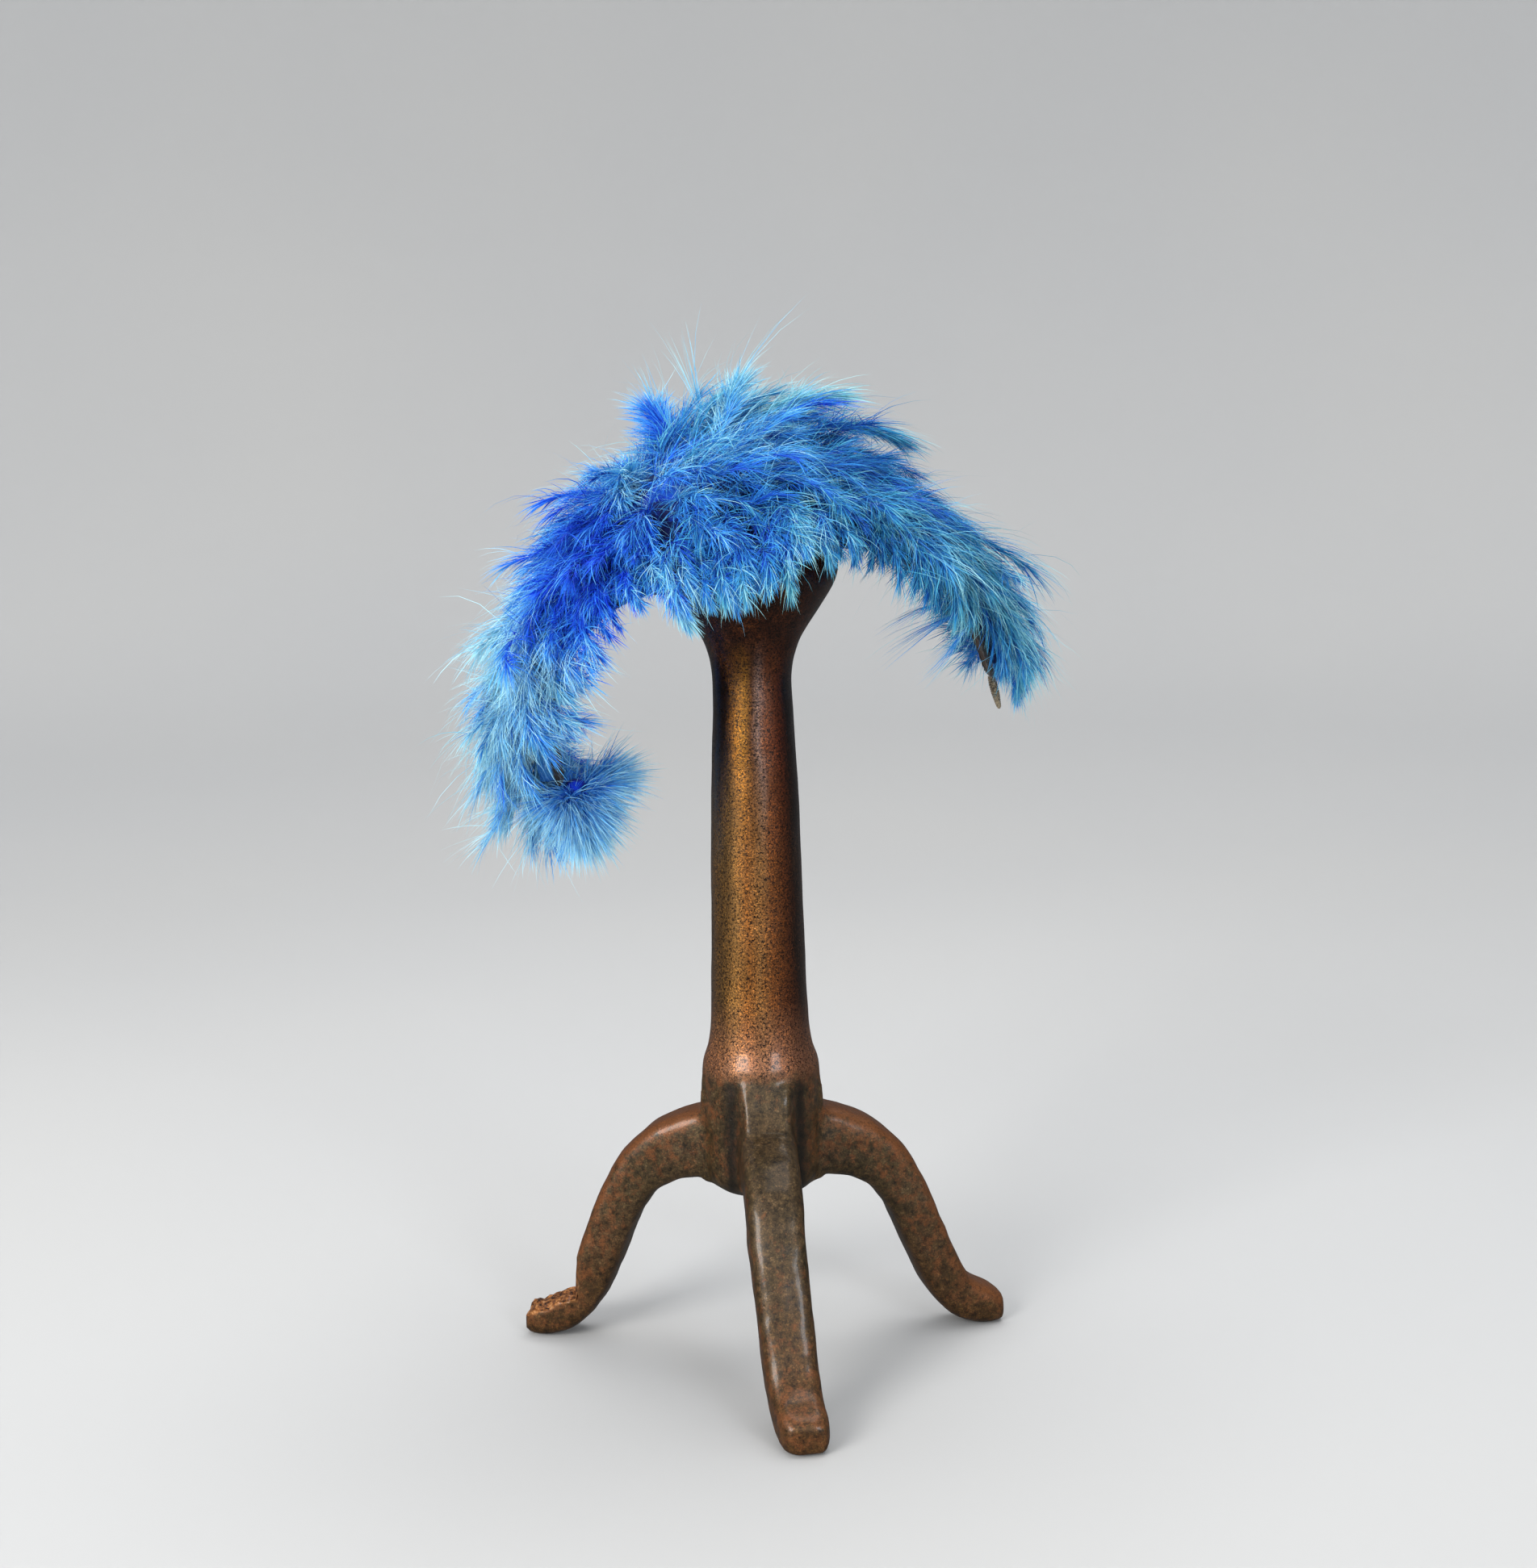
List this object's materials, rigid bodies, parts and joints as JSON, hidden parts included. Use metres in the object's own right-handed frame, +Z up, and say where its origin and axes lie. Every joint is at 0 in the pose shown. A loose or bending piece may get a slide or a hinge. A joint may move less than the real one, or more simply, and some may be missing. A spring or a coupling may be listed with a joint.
{
  "type": "feather half hat on a cast iron tripod stand",
  "caption": "Crescent half hat of dyed blue marabou on a velvet-covered wired frame, laid over the flared head of an old cast iron tripod stand.",
  "frame": {"origin": "on the surface the stand's feet rest on, below the middle of the bounding box", "axes": "+Z up, front of the hat and the stand's front leg towards -Y, +X to the right seen from the front"},
  "size_m": [0.227, 0.139, 0.3677],
  "materials": {
    "cast_iron": "old brown patina with a worn lacquer sheen",
    "velvet": "dark brown velvet",
    "wire_covering": "dark cloth binding",
    "wire_wrapping": "wound grey-brown thread",
    "royal_feathers": "dyed marabou, royal blue",
    "sky_feathers": "dyed marabou, sky blue",
    "teal_feathers": "dyed marabou, pale teal blue"
  },
  "bodies": {
    "root": {"stand": "cast_iron", "velvet_frame": "velvet", "edge_binding": "wire_covering", "wire_end_tip": "wire_wrapping", "front_feathers": "royal_feathers", "middle_feathers": "sky_feathers", "back_feathers": "sky_feathers", "left_arm_feathers": "royal_feathers", "right_arm_feathers": "teal_feathers", "end_tuft": "royal_feathers"}
  },
  "joints": []
}
